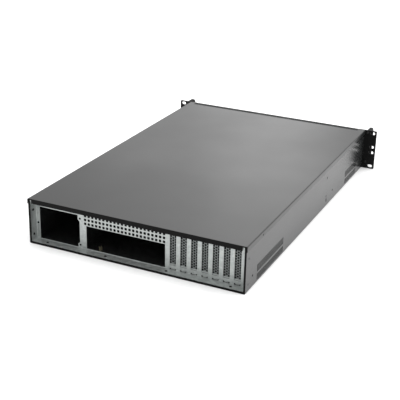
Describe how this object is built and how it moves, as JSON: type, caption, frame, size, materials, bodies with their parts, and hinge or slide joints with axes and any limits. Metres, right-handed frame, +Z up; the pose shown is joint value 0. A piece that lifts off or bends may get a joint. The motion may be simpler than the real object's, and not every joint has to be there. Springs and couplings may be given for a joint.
{
  "type": "rackmount server case",
  "caption": "Shallow steel rack case with a sliding top cover, slotted ears with handles, a recessed rear panel with supply, connector and card openings, and a drive bay front.",
  "frame": {"origin": "middle of the whole footprint, on the underside of the floor", "axes": "+X to the right for someone who faces the front, +Y towards the rear panel, +Z up; the front with its handles faces -Y"},
  "size_m": [0.4826, 0.708, 0.088],
  "materials": {
    "case_paint": "satin black powder coat",
    "black_paint": "fine matt black powder coat",
    "galvanised": "galvanised sheet with a fine spangle",
    "zinc_screw": "zinc plated",
    "black_screw": "black oxide",
    "black_plastic": "fine moulded texture",
    "button_plastic": "polished",
    "board_laminate": "green solder mask",
    "spacer_nylon": "natural nylon",
    "lamp_epoxy": "clear epoxy",
    "socket_shell": "nickel plated",
    "brass": "turned"
  },
  "bodies": {
    "chassis": {"chassis_tray": "case_paint", "rear_panel": "galvanised", "slot_cover_1": "galvanised", "slot_cover_2": "galvanised", "slot_cover_3": "galvanised", "slot_cover_4": "galvanised", "slot_cover_5": "galvanised", "slot_cover_6": "galvanised", "slot_cover_7": "galvanised", "slot_cover_screws": "zinc_screw", "rear_panel_rivets": "black_screw", "left_rack_ear": "black_paint", "right_rack_ear": "black_paint", "left_handle": "black_paint", "right_handle": "black_paint", "handle_screws": "black_screw", "ear_screws": "black_screw", "front_panel": "black_paint", "lower_bay_cover": "black_plastic", "upper_bay_cover": "black_plastic", "control_board": "board_laminate", "control_board_spacers": "spacer_nylon", "button_switches": "black_plastic", "indicator_lamps": "lamp_epoxy", "usb_sockets": "socket_shell", "drive_cage": "galvanised", "fan_wall": "galvanised", "cross_brace": "galvanised", "supply_divider": "case_paint", "board_standoffs": "brass"},
    "cover": {"top_cover": "case_paint"},
    "power_key": {"power_button": "button_plastic"},
    "reset_key": {"reset_button": "button_plastic"}
  },
  "joints": [
    {"name": "cover_slide", "type": "slide", "parent": "chassis", "child": "cover", "axis": [0, 1, 0], "range_m": [0, 0.025]},
    {"name": "power_press", "type": "slide", "parent": "chassis", "child": "power_key", "axis": [0, 1, 0], "range_m": [0, 0.0015], "stiffness_N_per_m": 600, "springref_m": -0.0015},
    {"name": "reset_press", "type": "slide", "parent": "chassis", "child": "reset_key", "axis": [0, 1, 0], "range_m": [0, 0.0015], "stiffness_N_per_m": 600, "springref_m": -0.0015}
  ]
}
